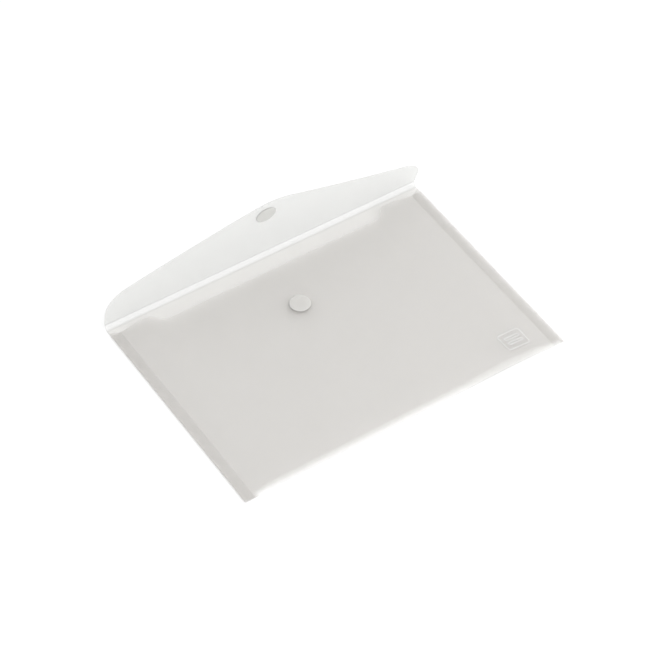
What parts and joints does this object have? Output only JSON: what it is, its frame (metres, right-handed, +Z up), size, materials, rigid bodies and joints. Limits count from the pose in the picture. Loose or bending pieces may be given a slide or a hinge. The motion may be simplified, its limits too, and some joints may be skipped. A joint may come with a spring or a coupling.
{
  "type": "document wallet",
  "caption": "Flat translucent plastic envelope wallet with welded sides, a two-crease hinge and a pointed flap that closes with a hook-and-loop coin pair.",
  "frame": {"origin": "middle of the whole object's footprint, on the surface the wallet lies on", "axes": "+X along the creases, with the opening behind and the flap leaning to the front; +Y from the bottom fold to the hinge; +Z up, out of the front panel"},
  "size_m": [0.335, 0.2382, 0.0907],
  "materials": {
    "sheet": "frosted, translucent",
    "hook": "clear moulded hooks",
    "loop": "fine clear loops",
    "glue": "clear adhesive film"
  },
  "bodies": {
    "pouch": {"back_panel": "sheet", "bottom_fold": "sheet", "front_panel": "sheet", "left_side_tab": "sheet", "right_side_tab": "sheet", "hook_coin": "hook", "hook_coin_glue": "glue"},
    "spine": {"spine_strip": "sheet"},
    "flap": {"closing_flap": "sheet", "loop_coin": "loop", "loop_coin_glue": "glue"}
  },
  "joints": [
    {"name": "lower_crease", "type": "hinge", "parent": "pouch", "child": "spine", "pos_m": [0, 0.11555, 0.00025], "axis": [1, 0, 0], "range_deg": [-52, 38]},
    {"name": "upper_crease", "type": "hinge", "parent": "spine", "child": "flap", "pos_m": [0, 0.11887, 0.00451], "axis": [1, 0, 0], "range_deg": [-47.7, 33.4]}
  ]
}
